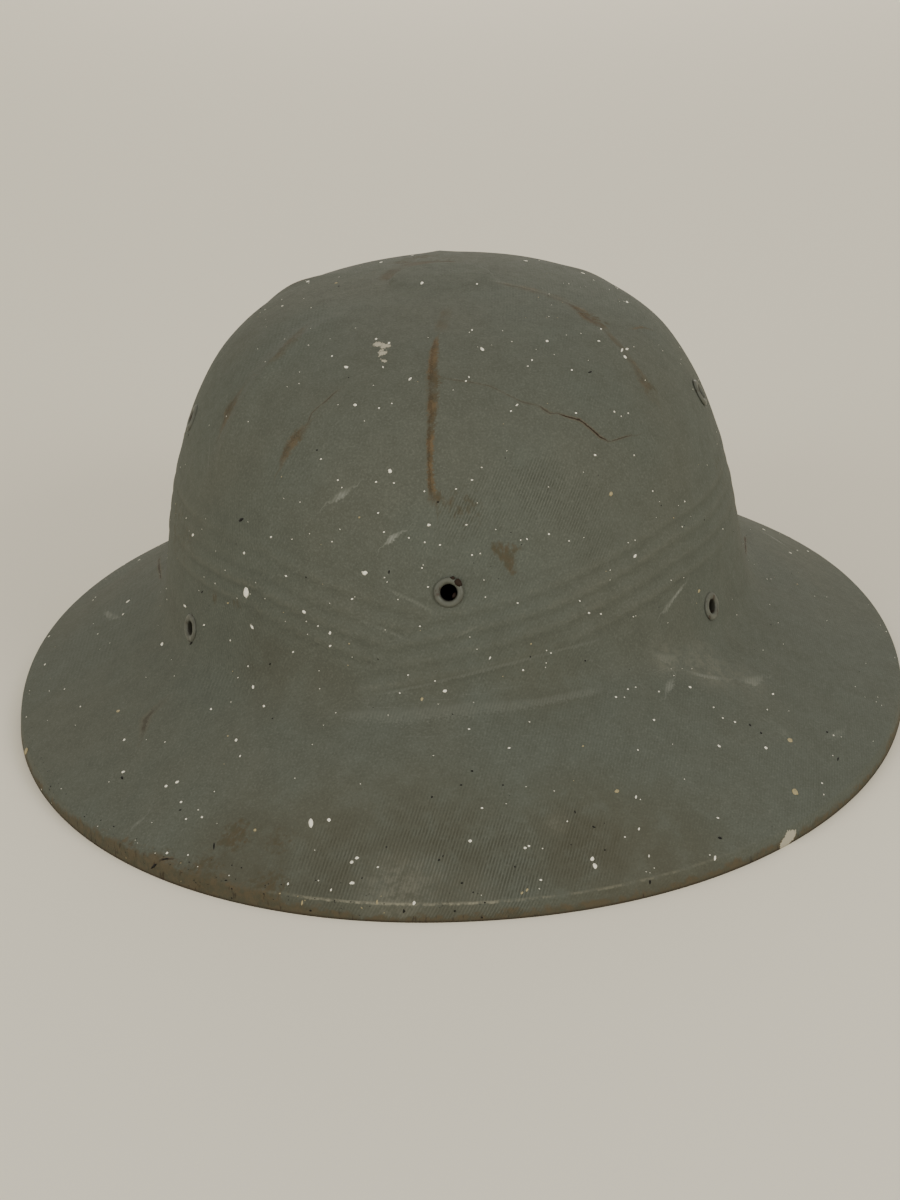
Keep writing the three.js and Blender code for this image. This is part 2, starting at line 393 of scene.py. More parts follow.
# Lines on the paint. Those in view are traced by pixel, the rest by angle round and height
# The third number of each point is the half width in millimetres
Line = namedtuple("Line", "kind strength points")
seenLines = [
    Line("ridge", 0.3, [(447, 310, 1.2), (441, 330, 1.6)]),
    Line("ridge", 1.0, [(437, 338, 0.6), (434, 351, 1.0), (433, 372, 1.3), (433, 392, 1.4), (432, 415, 1.1),
                        (430, 440, 0.85), (430, 468, 0.7), (431, 486, 0.8), (434, 500, 1.2)]),
    Line("ridge", 0.38, [(500, 283, 1.0), (530, 289, 1.6), (556, 297, 1.6), (576, 306, 1.4)]),
    Line("ridge", 0.85, [(566, 301, 1.0), (578, 309, 1.6), (590, 319, 1.8), (606, 329, 1.2)]),
    Line("ridge", 0.45, [(606, 331, 1.0), (624, 350, 1.1), (640, 374, 1.5), (652, 394, 2.2)]),
    Line("ridge", 0.6, [(632, 329, 0.3), (642, 327, 0.5), (652, 330, 0.3)]),
    Line("ridge", 0.45, [(306, 326, 1.0), (292, 340, 1.8), (272, 360, 1.2)]),
    Line("ridge", 0.7, [(240, 392, 1.2), (230, 409, 2.4), (222, 428, 1.2)]),
    Line("ridge", 0.75, [(305, 427, 1.0), (297, 437, 1.5), (288, 448, 1.3), (281, 464, 0.9)]),
    Line("crack", 0.35, [(447, 379, 0.2), (470, 382, 0.16), (490, 386, 0.16), (522, 402, 0.18),
                         (540, 406, 0.2)]),
    Line("crack", 0.9, [(540, 406, 0.26), (546, 411, 0.32), (551, 414, 0.24)]),
    Line("crack", 1.0, [(557, 413, 0.15), (568, 417, 0.22), (580, 420, 0.28), (590, 428, 0.28),
                        (600, 437, 0.26), (609, 442, 0.2)]),
    Line("crack", 0.5, [(609, 442, 0.18), (618, 439, 0.16), (632, 435, 0.18)]),
    Line("crack", 0.5, [(338, 390, 0.28), (325, 402, 0.2), (313, 411, 0.15), (307, 424, 0.18)]),
    Line("crack", 0.9, [(745, 537, 0.25), (746, 555, 0.25), (744, 572, 0.25)]),
    Line("crack", 0.7, [(159, 558, 0.3), (159, 568, 0.35), (161, 579, 0.25)]),
    Line("crack", 0.42, [(163, 702, 0.9), (153, 711, 0.8), (146, 718, 1.0), (142, 737, 0.5)]),
    # down the boss's left edge: partly its brown wear, and partly painted shade along that edge
    Line("ridge", 0.5, [(396, 257, 0.7), (395, 272, 0.9), (396, 286, 0.6)]),
    Line("crack", 0.9, [(175, 859, 0.25), (162, 859, 0.45), (153, 866, 0.6)]),
    Line("rubAndHighlight", 0.85, [(333, 501, 0.6), (340, 496, 1.2), (348, 490, 0.7)]),
    Line("rubAndHighlight", 0.9, [(386, 544, 0.4), (392, 538, 0.9), (398, 534, 0.6)]),
    Line("rubAndHighlight", 0.9, [(665, 610, 0.8), (671, 602, 0.6), (677, 594, 0.35), (682, 587, 0.6)]),
    # painted highlight: the next three rub lines are light along fold crests, and the fourth along the band's
    # lower edge
    Line("rubAndHighlight", 0.2, [(385, 588, 0.4), (410, 600, 0.5), (434, 612, 0.35)]),
    Line("rubAndHighlight", 0.2, [(358, 619, 0.4), (384, 630, 0.5), (404, 638, 0.35)]),
    Line("rubAndHighlight", 0.16, [(453, 639, 0.35), (478, 626, 0.35)]),
    Line("rubAndHighlight", 0.17, [(383, 694, 0.3), (430, 684, 0.4), (470, 674, 0.45), (520, 661, 0.45), (560, 650, 0.4),
                      (600, 640, 0.3)]),
    Line("rubAndHighlight", 0.25, [(490, 280, 0.5), (520, 286, 0.6), (548, 294, 0.7), (572, 304, 0.6)]),
    # painted highlight: a light line along the fillet where the crown meets the brim
    Line("rubAndHighlight", 0.17, [(345, 716, 1.6), (400, 717, 2.2), (440, 712, 2.2), (490, 708, 1.8), (530, 704, 1.2),
                       (600, 690, 1.0)]),
    Line("rubAndHighlight", 0.3, [(134, 826, 0.6), (141, 820, 0.6)]),
    Line("rubAndHighlight", 0.4, [(690, 672, 0.5), (703, 676, 0.6), (724, 679, 0.7)]),
    Line("rubAndHighlight", 0.2, [(655, 655, 0.8), (666, 659, 1.1), (676, 657, 0.7)]),
    Line("rubAndHighlight", 0.45, [(742, 680, 1.0), (752, 682, 1.5), (761, 678, 1.0)]),
    Line("rubAndHighlight", 0.5, [(667, 691, 0.8), (670, 686, 1.1), (672, 681, 0.8)]),
    Line("rubAndHighlight", 0.25, [(832, 737, 1.2), (842, 731, 1.0)]),
    Line("rubAndHighlight", 0.25, [(778, 728, 1.2), (786, 735, 1.0)]),
    Line("rubAndHighlight", 0.3, [(210, 440, 0.2), (208, 470, 0.2)]),
]
hiddenLines = [
    Line("ridge", 0.4, [(165, 127.8, 2.0), (190, 127.6, 3.0), (220, 127.6, 3.0), (262, 127.8, 2.0)]),
    Line("ridge", 0.7, [(124, 120, 0.6), (124, 112, 1.1), (124, 101, 0.9), (124, 92, 0.5)]),
    Line("ridge", 0.9, [(180, 119, 0.6), (180, 108, 1.2), (180.6, 96, 0.9), (180.4, 88, 0.8)]),
    Line("ridge", 0.6, [(236, 121, 0.6), (236, 114, 1.2), (236, 104, 0.8), (236, 95, 0.5)]),
    Line("crack", 0.7, [(182, 107, 0.2), (190, 104, 0.2), (197, 100, 0.28), (204, 99, 0.24),
                        (209, 95, 0.18)]),
    Line("crack", 0.5, [(101, 84, 0.2), (106, 79, 0.25), (107, 73, 0.2)]),
    Line("rubAndHighlight", 0.6, [(150, 88, 0.6), (153, 92, 0.9)]),
    Line("rubAndHighlight", 0.6, [(221, 62, 0.5), (224, 66, 0.7), (226, 69, 0.4)]),
    Line("rubAndHighlight", 0.5, [(262, 24, 0.8), (266, 27, 1.2), (268, 29, 0.8)]),
    Line("rubAndHighlight", 0.5, [(112, 20, 0.7), (116, 22, 1.1)]),
]

# Soft patches, by pixel and radius in millimetres
Patch = namedtuple("Patch", "x y radius strength")
patches = dict(
    worn=[
        Patch(420, 257, 6, 0.55), Patch(404, 262, 4, 0.6), Patch(440, 262, 6, 0.4),
        Patch(497, 548, 1.8, 0.7), Patch(506, 549, 2.0, 0.8), Patch(516, 549, 1.6, 0.65),
        Patch(505, 556, 2.2, 0.8), Patch(510, 564, 1.9, 0.8), Patch(513, 571, 1.4, 0.7),
        Patch(214, 597, 3.0, 0.4), Patch(236, 604, 2.6, 0.4), Patch(592, 318, 4, 0.6),
        Patch(235, 836, 5, 0.7), Patch(280, 842, 4.5, 0.45), Patch(268, 888, 6, 0.6),
        Patch(200, 874, 7, 0.6), Patch(160, 866, 6, 0.5), Patch(130, 858, 5, 0.55),
        Patch(437, 497, 2.2, 0.7), Patch(465, 508, 6, 0.3), Patch(448, 505, 3, 0.45),
        Patch(600, 322, 3.5, 0.4), Patch(650, 388, 4, 0.4), Patch(300, 434, 2.5, 0.35),
        Patch(231, 408, 3.5, 0.5), Patch(178, 520, 10, 0.3), Patch(185, 545, 8, 0.25),
        Patch(720, 470, 6, 0.25), Patch(436, 380, 2.5, 0.5),
    ],
    scuffAndHighlight=[
        Patch(708, 668, 9, 0.4), Patch(666, 657, 6, 0.35), Patch(748, 680, 6, 0.35),
        Patch(400, 888, 10, 0.5), Patch(470, 894, 7, 0.2), Patch(556, 824, 3, 0.35),
        Patch(430, 876, 6, 0.25),
    ],
    # dirt on the brim, and painted shade at the crown's foot in the four patches 665 to 690 down
    grimeAndShade=[
        Patch(430, 856, 26, 0.5), Patch(330, 856, 22, 0.5), Patch(590, 850, 22, 0.6),
        Patch(250, 862, 20, 0.6), Patch(270, 665, 14, 0.3), Patch(540, 680, 14, 0.3),
        Patch(440, 690, 9, 0.2), Patch(330, 690, 12, 0.2), Patch(660, 860, 22, 0.5),
    ],
    ribs=[
        Patch(540, 490, 10, 0.7), Patch(505, 495, 10, 0.45), Patch(464, 515, 7, 0.7),
        Patch(576, 506, 10, 0.55), Patch(590, 540, 9, 0.4), Patch(430, 866, 20, 1.0),
        Patch(340, 868, 14, 0.8), Patch(570, 846, 14, 0.9), Patch(500, 866, 16, 1.0),
        Patch(490, 900, 14, 0.8),
    ],
    torn=[
        Patch(378, 344, 2.1, 0.82), Patch(385, 346, 2.1, 0.82), Patch(382, 354, 1.9, 0.82),
        Patch(383, 361, 1.5, 0.7), Patch(788, 838, 2.2, 1.0), Patch(794, 834, 1.6, 1.0),
        Patch(782, 845, 1.5, 1.0),
    ],
)

count = len(pierced.vertices)
places, normals = np.empty(count * 3), np.empty(count * 3)
pierced.vertices.foreach_get("co", places)
pierced.vertices.foreach_get("normal", normals)
places, normals = places.reshape(-1, 3) / mm, normals.reshape(-1, 3)
outward = places * (1, 0.7, 1) + (0, 0, 20)
isOutside = (normals * outward).sum(axis=1) > 0


def smooth(low, high, values):
    share = np.clip((values - low) / (high - low), 0, 1)
    return share * share * (3 - 2 * share)


lineSettings = dict(steps=4, largestGap=12, window=20, farthest=9.0, sideLimit=12.0, endStrength=0.3)


def spotsAlong(points, place):  # points on the shell, at even steps between the traced ones
    steps = lineSettings["steps"]
    spots = []
    for first, second in zip(points, points[1:]):
        for k in range(steps):
            spots.append([a + (b - a) * k / steps for a, b in zip(first, second)])
    spots.append(points[-1])
    found = [(place(x, y), width) for x, y, width in spots]
    kept = []
    for spot, width in found:
        if spot and (not kept or (spot - kept[-1][0]).length < lineSettings["largestGap"]):
            kept.append((spot, width))
    return kept


def placeSeen(x, y):
    hit = onShell((x, y))[0]
    return hit / mm if hit else None


def placeHidden(degrees, height):
    return outerPoint(stopAtHeight(height), math.radians(degrees))


marks = {}
nearest = {}
for kind in ("ridge", "crack", "rubAndHighlight"):
    # signed distance from the nearest line, in its half widths
    marks[kind + "Side"] = np.full(count, lineSettings["sideLimit"])
    marks[kind + "Mask"] = np.zeros(count)  # how strongly that line shows
    nearest[kind] = np.full(count, lineSettings["farthest"])
placedLines = [(line, spotsAlong(line.points, placeSeen)) for line in seenLines]
placedLines += [(line, spotsAlong(line.points, placeHidden)) for line in hiddenLines]
for line, spots in placedLines:
    runs = [0.0]
    for first, second in zip(spots, spots[1:]):
        runs.append(runs[-1] + (second[0] - first[0]).length)
    for i, (first, second) in enumerate(zip(spots, spots[1:])):
        start, along = np.array(first[0]), np.array(second[0] - first[0])
        near = np.nonzero(isOutside & (np.abs(places - start).max(axis=1) < lineSettings["window"]))[0]
        share = np.clip((places[near] - start) @ along / (along @ along), 0, 1)
        gap = places[near] - start - share[:, None] * along
        away = np.sqrt((gap * gap).sum(axis=1))
        sign = np.where((gap * np.cross(normals[near], along)).sum(axis=1) > 0, 1, -1)
        width = first[1] + (second[1] - first[1]) * share
        run = runs[i] + share * (runs[i + 1] - runs[i])
        ends = smooth(-0.5, min(3.0, 0.3 * runs[-1]), np.minimum(run, runs[-1] - run))
        fade = 1 - smooth(2 * width + 2.5, 2 * width + 5, away)
        closer = away < nearest[line.kind][near]
        chosen = near[closer]
        nearest[line.kind][chosen] = away[closer]
        limit, least = lineSettings["sideLimit"], lineSettings["endStrength"]
        marks[line.kind + "Side"][chosen] = np.clip(sign * away / width, -limit, limit)[closer]
        marks[line.kind + "Mask"][chosen] = (line.strength * (least + (1 - least) * ends) * fade)[closer]

for kind, rows in patches.items():
    marks[kind] = np.zeros(count)
    for patch in rows:
        spot = placeSeen(patch.x, patch.y)
        if spot:
            gap = places - np.array(spot)
            away = np.sqrt((gap * gap).sum(axis=1)) / patch.radius
            shown = patch.strength * (1 - smooth(0.25, 1.6, away)) * isOutside
            marks[kind] = np.maximum(marks[kind], shown)

# painted shade: folds a little darker in their feet, and painted highlight: lighter on their edges
# the band is longer than wide by a steady ratio
foldSettings = dict(dark=0.3, edgeHighlight=0.2, lengthToWidth=1.183, lowest=38, highest=82)
marks["fold"] = np.zeros(count)
inBand = (places[:, 2] > foldSettings["lowest"]) & (places[:, 2] < foldSettings["highest"])
for i in np.nonzero(isOutside & inBand)[0]:
    x, y, z = places[i]
    share, strength = pleatAt(z, math.degrees(math.atan2(x * foldSettings["lengthToWidth"], -y)))
    foot = ramp(0.62, 0.98, share) + 1 - ramp(0.0, 0.1, share)
    edge = ramp(0.1, 0.22, share) * (1 - ramp(0.25, 0.5, share))
    marks["fold"][i] = foldSettings["dark"] * strength * foot
    marks["scuffAndHighlight"][i] = max(marks["scuffAndHighlight"][i], foldSettings["edgeHighlight"] * strength * edge)

# the lip is rubbed brown highest at the front left, and its crease is rubbed light at the front
degrees = np.degrees(np.arctan2(places[:, 0], -places[:, 1]))
marks["lipReach"] = smooth(-56, -38, degrees) * (1 - smooth(-26, -8, degrees)) * isOutside
creaseEnd = 1 - 0.6 * smooth(0, 10, degrees) - 0.4 * smooth(14, 34, degrees)
marks["crease"] = smooth(-22, -10, degrees) * creaseEnd * isOutside
# these attributes hold wear and dirt, and also the painted shade and painted highlight set above
for kind, values in marks.items():
    pierced.attributes.new(kind, "FLOAT", "POINT").data.foreach_set("value", values)
print("wear painted")

# Dried drops of paint, by tone and pixel
# size is the long axis in pixels, and turn is its lean from level, fanned if not given
Drop = namedtuple("Drop", "x y size stretch turn", defaults=(1.4, None))
drops = dict(
    white=[
        Drop(422, 283, 4.5, 1.6, 35), Drop(477, 284, 3), Drop(472, 330, 2.6),
        Drop(482, 349, 6.5, 1.7, -40), Drop(547, 341, 4, 1.5, -10), Drop(599, 341, 4, 2, -10),
        Drop(601, 329, 2.6), Drop(532, 360, 2.6), Drop(572, 370, 2.6), Drop(627, 302, 4, 2, -30),
        Drop(517, 405, 4.5, 2.4, 35), Drop(410, 379, 5.5, 2.2, 40), Drop(469, 377, 3, 1.6, -45),
        Drop(466, 381, 3, 1.6, 20), Drop(472, 480, 3), Drop(390, 471, 5.5, 1.1, 90), Drop(394, 483, 2.6),
        Drop(376, 482, 3.2), Drop(456, 489, 2.8), Drop(511, 411, 3, 1.6, 50), Drop(576, 413, 3),
        Drop(595, 455, 3.6), Drop(346, 367, 5.5, 1.8, 0), Drop(355, 405, 4.2, 1.2, 40),
        Drop(379, 408, 2.6), Drop(321, 459, 2.8), Drop(332, 356, 2.4), Drop(378, 513, 2.8),
        Drop(384, 532, 2.8), Drop(429, 525, 5), Drop(440, 545, 2.8), Drop(472, 555, 2.8),
        Drop(365, 573, 7), Drop(422, 568, 2.6), Drop(428, 587, 2.6), Drop(352, 599, 3.2),
        Drop(330, 633, 4.4, 1.3, 70), Drop(330, 646, 3.6), Drop(549, 534, 3.2),
        Drop(527, 539, 3.2, 2, -60), Drop(635, 556, 5.4, 1.6, 55), Drop(589, 613, 3.2),
        Drop(601, 614, 2.6), Drop(580, 601, 3, 2, -45), Drop(246, 592, 16, 2.2, 88),
        Drop(252, 627, 6.5, 2.2, -55), Drop(304, 612, 5.6, 1.5, -45), Drop(286, 576, 3.2, 1.4, -30),
        Drop(293, 652, 3.2), Drop(318, 626, 2.8), Drop(193, 535, 4.4, 1.7, 75), Drop(271, 537, 3),
        Drop(244, 553, 4, 1.6, 85), Drop(185, 606, 5, 2.2, -45), Drop(204, 625, 3),
        Drop(162, 644, 6, 2.4, 60), Drop(445, 691, 5.6), Drop(435, 681, 2.6), Drop(408, 675, 2.6),
        Drop(469, 729, 3), Drop(490, 658, 4, 2, 60), Drop(551, 653, 2.6), Drop(509, 748, 3.6, 1.6, 0),
        Drop(616, 697, 3.6, 1.5, -25), Drop(638, 750, 2.6), Drop(253, 687, 5, 1.7, 85),
        Drop(264, 706, 3.8, 1.3, 60), Drop(236, 740, 4.8, 1.7, 60), Drop(211, 709, 3.2, 1.4, 40),
        Drop(240, 756, 3.2, 1.6, 50), Drop(124, 740, 4, 1.8, 45), Drop(123, 772, 4.8, 1.9, 35),
        Drop(177, 782, 5.4, 2.1, 35), Drop(166, 786, 4.2, 1.4, 40), Drop(181, 802, 3.8, 1.6, 25),
        Drop(186, 819, 3), Drop(202, 817, 3, 1.4, 15), Drop(167, 853, 3.6, 1.4, 30), Drop(188, 855, 2.8),
        Drop(288, 884, 4, 1.6, 75), Drop(311, 823, 13.5, 2.3, 88), Drop(329, 820, 5.4, 1.1, 20),
        Drop(352, 883, 6.8, 1.8, 20), Drop(357, 858, 5.5, 1.4, 30), Drop(352, 862, 5, 1.4, 30),
        Drop(378, 867, 3), Drop(331, 890, 4, 1.7, 70), Drop(414, 903, 5, 1.2, 70), Drop(470, 841, 5),
        Drop(482, 808, 3.2), Drop(525, 848, 4), Drop(529, 846, 3.6), Drop(541, 880, 3.6),
        Drop(592, 859, 6.5, 1.4, 80), Drop(595, 866, 8, 1.5, -70), Drop(636, 797, 5, 2.2, 80),
        Drop(639, 829, 4, 1.6, 75), Drop(625, 837, 3, 1.6, -30), Drop(649, 856, 4, 1.8, 85),
        Drop(715, 858, 7, 2.2, 80), Drop(718, 818, 3.6, 1.8, -25), Drop(690, 687, 4, 1.6, -25),
        Drop(654, 720, 3.6, 1.5, -25), Drop(735, 722, 3.6, 1.9, -30), Drop(766, 748, 5, 1.7, -40),
        Drop(719, 746, 5, 2.4, -30), Drop(773, 694, 3.4, 1.6, -20), Drop(622, 350, 5.5, 2, 70),
        Drop(625, 357, 6, 2, -40), Drop(627, 349, 4, 1.6, 0), Drop(376, 339, 3.2), Drop(389, 343, 3.2),
        Drop(383, 367, 3, 2, -75),
    ],
    tan=[
        Drop(611, 494, 6, 1.4, 80), Drop(422, 699, 4.8, 1.3, 80), Drop(699, 591, 4.6, 1.4, 70),
        Drop(617, 791, 6.2, 1.2, 0), Drop(795, 792, 10, 1.4, -50), Drop(790, 740, 7.4, 1.5, -30),
        Drop(255, 830, 4.6, 1.2, 40), Drop(118, 711, 5, 1.5, 20), Drop(26, 751, 12, 2, 75),
        Drop(522, 893, 5, 1.8, 60), Drop(527, 890, 4.6, 1.8, 60), Drop(302, 903, 7, 3, 80),
        Drop(377, 902, 7, 3, 85), Drop(583, 746, 3, 1.5, 10), Drop(228, 603, 3),
    ],
    dark=[
        Drop(241, 520, 7, 1.9, 35), Drop(389, 572, 5, 2, 80), Drop(590, 372, 6, 3, 20), Drop(317, 450, 3),
        Drop(438, 502, 3.4), Drop(432, 797, 3, 1.2, 80), Drop(462, 883, 3.6), Drop(439, 860, 3.6, 1.3, 20),
        Drop(443, 856, 3, 1.6, 70), Drop(404, 911, 5, 1.6, 80), Drop(362, 878, 2.8),
        Drop(214, 846, 10, 4.4, 86), Drop(154, 866, 10, 3.4, 42), Drop(165, 859, 9, 4.4, 8),
        Drop(180, 810, 4, 2, 20), Drop(720, 838, 5.4, 1.7, -15), Drop(575, 812, 4, 2, -70),
        Drop(594, 827, 5, 2.4, -20), Drop(605, 850, 3, 1.5, 0), Drop(650, 882, 5.5, 2.2, 85),
        Drop(750, 725, 3.6, 1.4, -50), Drop(761, 733, 3.2, 1.4, -30), Drop(827, 732, 3),
        Drop(838, 759, 4.4, 2, 80), Drop(270, 664, 3), Drop(191, 643, 6, 2.2, 60), Drop(202, 592, 3),
        Drop(122, 778, 4.2, 1.4, -60), Drop(472, 771, 3.6), Drop(461, 785, 3), Drop(503, 785, 3),
    ],
)
dropSettings = dict(
    scale=0.73, height=0.16, frontCount=330, backCount=330, lipCount=110,
    smallest=0.19, frontLargest=0.36, backLargest=0.95, tanShare=0.12, seed=11,
)
toneValues = dict(white=0.0, tan=0.34, rust=0.67, dark=1.0)
dropsBm = bmesh.new()
toneLayer = dropsBm.verts.layers.float.new("tone")


def addDrop(spot, normal, long, short, tone, detail, height=dropSettings["height"]):
    made = bmesh.ops.create_icosphere(dropsBm, subdivisions=detail, radius=1)["verts"]
    thick = min(height * mm, 2 * height * short.length)
    for vert in made:
        lump = 1 + 0.45 * noise.noise(vert.co * 1.4 + spot * 900)
        lump += 0.3 * noise.noise(vert.co * 3.1 + spot * 700)
        vert.co = spot + (long * vert.co.x + short * vert.co.y) * lump + normal * vert.co.z * thick
        vert[toneLayer] = tone


def onPlane(pixel, spot, normal):
    start, away = lookThrough(pixel)
    return start + away * ((spot - start).dot(normal) / away.dot(normal)) - spot


for tone, rows in drops.items():
    for drop in rows:
        spot, normal = onShell((drop.x, drop.y))
        if spot:
            fan = 45 - 0.16 * (drop.x - 200)
            half = drop.size * dropSettings["scale"] / 2
            lean = math.radians(fan if drop.turn is None else drop.turn)
            tip = (drop.x + half * math.cos(lean), drop.y - half * math.sin(lean))
            wide = half / drop.stretch
            flank = (drop.x - wide * math.sin(lean), drop.y - wide * math.cos(lean))
            axes = [onPlane(pixel, spot, normal) for pixel in (tip, flank)]
            longest = half * 0.7 * mm
            axes = [axis * min(1, longest / axis.length) for axis in axes]
            addDrop(spot, normal, *axes, toneValues[tone], 2)
dice = random.Random(dropSettings["seed"])
fieldStops = outerStops[12:-34]  # from above the lip to below the boss
lipStops = outerStops[2:18]
Scatter = namedtuple("Scatter", "number middle spread stops largest darkShare")
scatters = [
    Scatter(dropSettings["frontCount"], 0, 92, fieldStops, dropSettings["frontLargest"], 0.2),
    Scatter(dropSettings["backCount"], 180, 92, fieldStops, dropSettings["backLargest"], 0.2),
    Scatter(dropSettings["lipCount"], -38, 40, lipStops, dropSettings["frontLargest"], 0.8),
]
for row in scatters:
    for _ in range(row.number):
        angle = math.radians(row.middle + dice.uniform(-row.spread, row.spread))
        spot, normal, _, _ = skinTree.find_nearest(outerPoint(dice.choice(row.stops), angle) * mm)
        pick = dice.random()
        tone = "dark" if pick < row.darkShare else "tan" if pick > 1 - dropSettings["tanShare"] else "white"
        size = dropSettings["smallest"] + (row.largest - dropSettings["smallest"]) * dice.random() ** 3
        across = Vector((normal.y, -normal.x, dice.uniform(-1, 1)))
        across = (across - normal * across.dot(normal)).normalized() * size * mm
        addDrop(spot, normal, across, normal.cross(across) * dice.uniform(0.45, 1), toneValues[tone], 1)
# crusts of rust on the front eyelet, by direction in the ring, distance from its middle and rise
Crust = namedtuple("Crust", "direction radius rise size")
crusts = [Crust(42, 3.9, 0.75, 1.2), Crust(70, 4.2, 0.45, 0.7), Crust(-35, 1.9, -1.1, 0.9)]
ring = eyeletPlace(eyelets[0])
for crust in crusts:
    lean = math.radians(crust.direction)
    offset = Vector((crust.radius * math.cos(lean), crust.radius * math.sin(lean), crust.rise))
    spot = ring @ (offset * mm)
    along = ring.to_3x3() @ Vector((-math.sin(lean), math.cos(lean), 0)) * crust.size * mm
    out = ring.to_3x3() @ Vector((0, 0, 1))
    addDrop(spot, out, along, out.cross(along) * 0.75, toneValues["rust"], 2, 0.6)
dropPiece = addPiece("paint_drops", dropsBm)
print("drops placed")


# Materials
def linearFrom(hexColour):
    values = [int(hexColour[i:i + 2], 16) / 255 for i in (1, 3, 5)]
    return [v / 12.92 if v <= 0.04045 else ((v + 0.055) / 1.055) ** 2.4 for v in values] + [1.0]


def perMm(size):  # texture scale for a pattern whose features are this many millimetres
    return 1000 / size


def addNode(tree, kind, inputs=(), out=0, **settings):
    node = tree.nodes.new("ShaderNode" + kind)
    for key, value in settings.items():
        setattr(node, key, value)
    for key, value in inputs.items() if isinstance(inputs, dict) else enumerate(inputs):
        if isinstance(value, bpy.types.NodeSocket):
            tree.links.new(value, node.inputs[key])
        else:
            node.inputs[key].default_value = linearFrom(value) if isinstance(value, str) else value
    return node.outputs[out]


def newMaterial(name):
    material = bpy.data.materials.new(name)
    material.use_nodes = True
    tree = material.node_tree
    tree.nodes.clear()
    output = tree.nodes.new("ShaderNodeOutputMaterial")
    shader = tree.nodes.new("ShaderNodeBsdfPrincipled")
    tree.links.new(shader.outputs["BSDF"], output.inputs["Surface"])
    return material, tree, shader


# Short forms, which add a node to the material in hand
def times(a, b):
    return addNode(tree, "Math", (a, b), operation="MULTIPLY")


def plus(a, b):
    return addNode(tree, "Math", (a, b), operation="ADD")


def minus(a, b):
    return addNode(tree, "Math", (a, b), operation="SUBTRACT")


def absolute(a):
    return addNode(tree, "Math", (a,), operation="ABSOLUTE")


def ease(value, *ends):  # a soft step between two values, and the two results if they aren't 0 and 1
    return addNode(tree, "MapRange", (value, *ends), interpolation_type="SMOOTHSTEP")


def blend(share, under, over):
    return addNode(tree, "Mix", {0: share, 6: under, 7: over}, 2, data_type="RGBA")


# Matt oil paint brushed over cotton twill on pressed fibre
# Dull grey-green with ribs just showing, and brown fibre where worn
paintColours = dict(
    warm="#56584d", cool="#55594f", dull="#46483e", pale="#696b60", valley="#404238", grimeAndShade="#494636",
    scuffAndHighlight="#757466", rubAndHighlight="#83857a",
    worn="#4d4431", rust="#62533c", bare="#2c231a", lipBrown="#544a36", crease="#8a8672", torn="#a8a28e",
)
paintSettings = dict(
    ribPitch=0.82, ribDepth=0.16, cloudSize=45, mottleSize=7, speckleSize=2.4, grainSize=0.62, streakSize=1.3,
    creaseHeight=5.05,
)
paint, tree, shader = newMaterial("painted twill on fibre")
where = addNode(tree, "TexCoord", out="Object")
facing = addNode(tree, "TexCoord", out="Normal")


def noiseOf(size, detail, roughness=0.5):
    return dict(Vector=where, Scale=perMm(size), Detail=detail, Roughness=roughness)


clouds = addNode(tree, "TexNoise", noiseOf(paintSettings["cloudSize"], 3.0))
mottle = addNode(tree, "TexNoise", noiseOf(paintSettings["mottleSize"], 4.0, 0.6))
speckle = addNode(tree, "TexNoise", noiseOf(paintSettings["speckleSize"], 5.0, 0.7))
grain = addNode(tree, "TexNoise", noiseOf(paintSettings["grainSize"], 2.0, 0.6))
mark = {name: addNode(tree, "Attribute", out="Fac", attribute_name=name) for name in marks}

# twill ribs lean to the right; the sides take the same ribs along the length
ribTurn = 2 * math.pi / (paintSettings["ribPitch"] * mm)
bend = times(minus(mottle, 0.5), 3.0)
waves = []
for lean in ((0.87, 0.0, -0.49), (0.0, 0.87, -0.49)):
    across = addNode(tree, "VectorMath", (where, lean), "Value", operation="DOT_PRODUCT")
    phase = plus(times(across, ribTurn), bend)
    waves.append(addNode(tree, "Math", (phase,), operation="SINE"))
sideFacing = absolute(addNode(tree, "SeparateXYZ", (facing,)))
sideways = ease(sideFacing, 0.6, 0.72)
ribs = addNode(tree, "Mix", {0: sideways, 2: waves[0], 3: waves[1]}, data_type="FLOAT")
ribBase = ease(clouds, 0.45, 0.65, 0.04, 0.2)
ribShow = addNode(tree, "Math", (ribBase, mark["ribs"]), operation="MAXIMUM")
ribBreak = ease(speckle, 0.35, 0.58, 0.25, 1.0)
ribShow = times(ribShow, ribBreak)

cloudTone = ease(clouds, 0.35, 0.65)
colour = blend(cloudTone, paintColours["warm"], paintColours["cool"])
dullShare = ease(mottle, 0.35, 0.7, 0.0, 0.3)
colour = blend(dullShare, colour, paintColours["dull"])
grainDark = ease(grain, 0.5, 0.28, 0.0, 0.42)
colour = blend(grainDark, colour, paintColours["dull"])
grainPale = ease(grain, 0.5, 0.72, 0.0, 0.42)
colour = blend(grainPale, colour, paintColours["pale"])
ribPale = ease(ribs, 0.1, 0.95, 0.0, 0.45)
ribPale = times(ribPale, ribShow)
colour = blend(ribPale, colour, paintColours["pale"])
ribDark = ease(ribs, 0.2, -0.8, 0.0, 0.8)
ribDark = times(ribDark, ribShow)
colour = blend(ribDark, colour, paintColours["valley"])

# painted shade in the feet of the folds
colour = blend(mark["fold"], colour, paintColours["dull"])
# brownish dirt on the front brim, and painted shade where the crown meets the brim
grimePatch = ease(mottle, 0.25, 0.6, 0.4, 1.0)
grimeAndShadeShare = times(mark["grimeAndShade"], grimePatch)
colour = blend(grimeAndShadeShare, colour, paintColours["grimeAndShade"])
